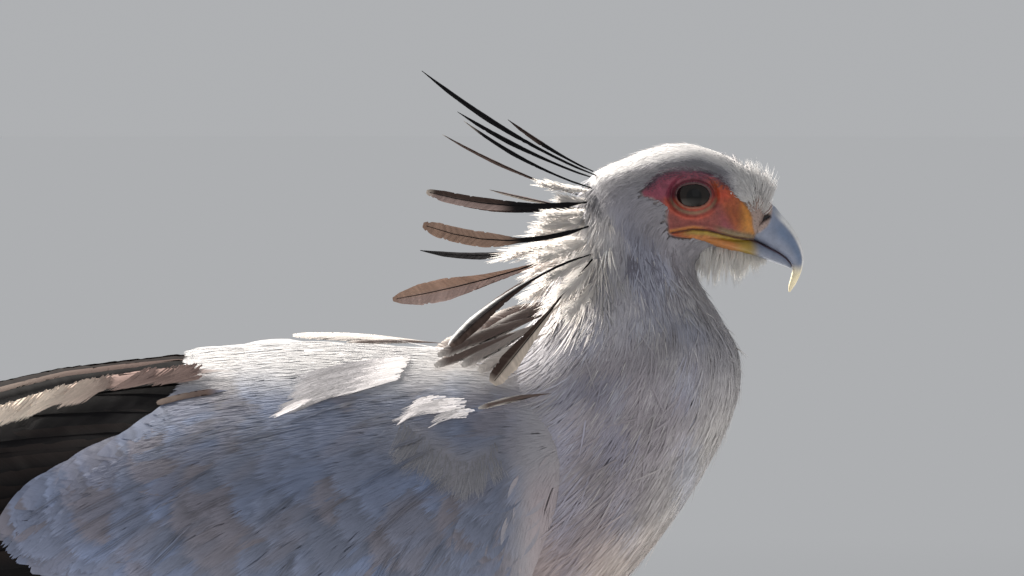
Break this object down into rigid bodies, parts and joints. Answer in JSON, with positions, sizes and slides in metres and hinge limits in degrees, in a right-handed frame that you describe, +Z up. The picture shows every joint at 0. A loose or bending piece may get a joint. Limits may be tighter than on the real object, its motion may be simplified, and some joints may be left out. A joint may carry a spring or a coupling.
{
  "type": "secretary bird model",
  "caption": "Life-size still model of a secretary bird standing on long legs, with a loose crest of plumes and folded wings, for display.",
  "frame": {"origin": "middle of the bird's bounding box, on the floor that the soles stand on", "axes": "+X towards the bill, +Y to the bird's left, +Z up"},
  "size_m": [1.079, 0.226, 1.0093],
  "materials": {
    "grey_feather": "soft matt feathers",
    "pale_feather": "soft matt feathers",
    "black_feather": "matt to silky black feathers",
    "tail_feather": "smooth grey feathers with a black band and a pale tip",
    "crest_feather": "silky black and brown plumes",
    "bill": "smooth satin horn",
    "lower_bill": "smooth satin horn",
    "eye": "wet gloss",
    "leg_skin": "scaled skin, satin",
    "claw": "satin horn"
  },
  "bodies": {
    "root": {"eye_right": "eye", "eye_left": "eye", "bill_upper": "bill", "bill_lower": "lower_bill", "head": "grey_feather", "neck": "grey_feather", "trunk": "grey_feather", "chin": "pale_feather", "wing_right": "pale_feather", "wing_left": "pale_feather", "secondaries_right": "black_feather", "primaries_right": "black_feather", "shin_right": "black_feather", "shank_right": "leg_skin", "foot_right": "leg_skin", "claw_right_middle": "claw", "claw_right_outer": "claw", "claw_right_inner": "claw", "claw_right_hind": "claw", "tail_centre_right": "tail_feather", "tail_right": "tail_feather", "secondaries_left": "black_feather", "primaries_left": "black_feather", "shin_left": "black_feather", "shank_left": "leg_skin", "foot_left": "leg_skin", "claw_left_middle": "claw", "claw_left_outer": "claw", "claw_left_inner": "claw", "claw_left_hind": "claw", "tail_centre_left": "tail_feather", "tail_left": "tail_feather", "plume_01": "crest_feather", "plume_02": "crest_feather", "plume_03": "crest_feather", "plume_04": "crest_feather", "plume_05": "crest_feather", "plume_06": "crest_feather", "plume_07": "crest_feather", "plume_08": "crest_feather", "plume_09": "crest_feather", "plume_10": "crest_feather", "plume_11": "crest_feather", "plume_12": "crest_feather", "plume_13": "crest_feather", "plume_14": "crest_feather", "plume_15": "crest_feather"}
  },
  "joints": []
}
